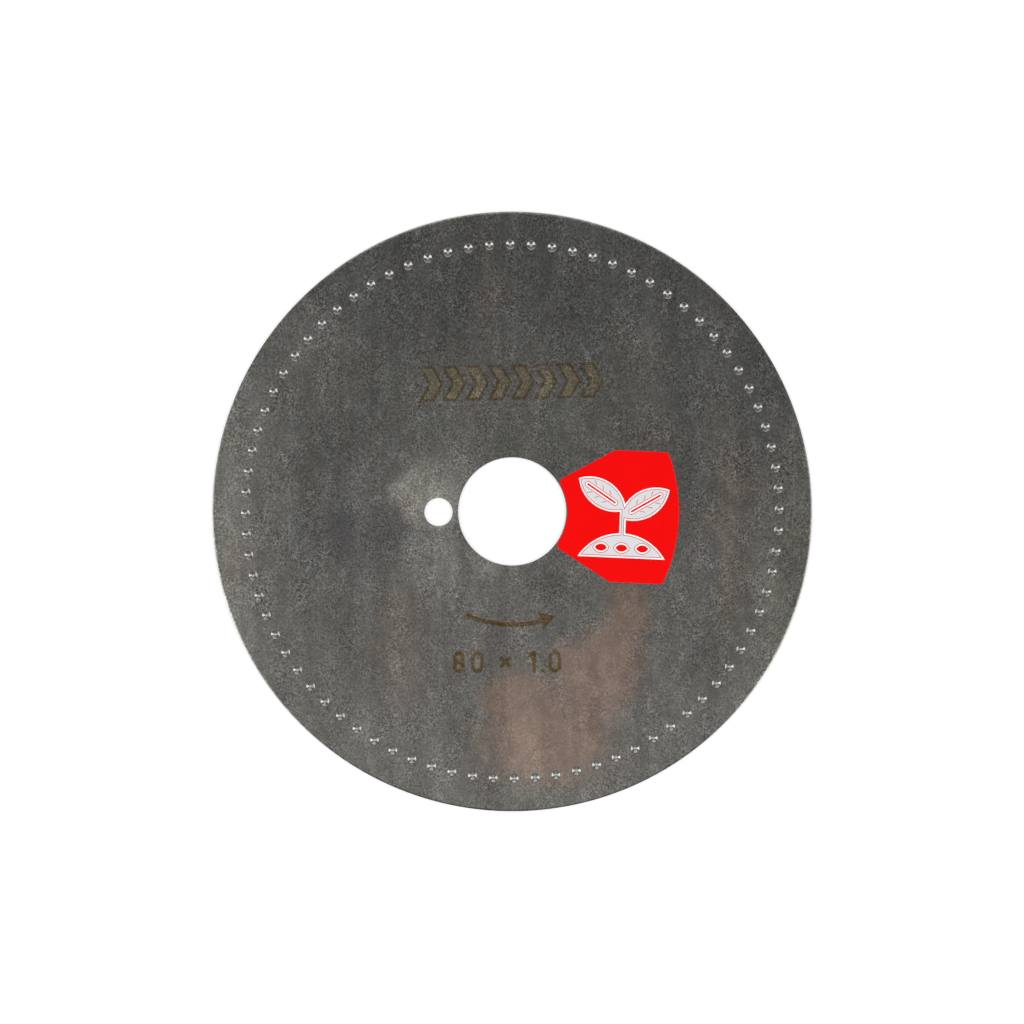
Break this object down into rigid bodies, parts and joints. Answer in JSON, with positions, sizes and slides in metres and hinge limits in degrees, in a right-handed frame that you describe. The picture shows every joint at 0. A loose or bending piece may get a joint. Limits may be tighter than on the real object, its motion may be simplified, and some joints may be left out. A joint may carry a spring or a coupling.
{
  "type": "planter seed plate",
  "caption": "Thin round steel seed plate for a vacuum planter, with a hub bore, a drive pin hole, a ring of countersunk seed holes near the rim and a red label on its face.",
  "frame": {"origin": "on the bore axis, at the back face that the plate lies on", "axes": "+Z out of the countersunk face along the bore axis, -X from the bore to the drive pin hole, +Y to the picture's top"},
  "size_m": [0.22, 0.22, 0.0011],
  "materials": {
    "steel": "dull mill-finish stainless sheet, with brighter cut metal in the countersinks",
    "red_vinyl": "satin red vinyl with a pale print",
    "pale_ink": "satin screen-printed ink in a pale grey-white"
  },
  "bodies": {
    "root": {"seed_plate": "steel", "label": "red_vinyl", "label_print": "pale_ink"}
  },
  "joints": []
}
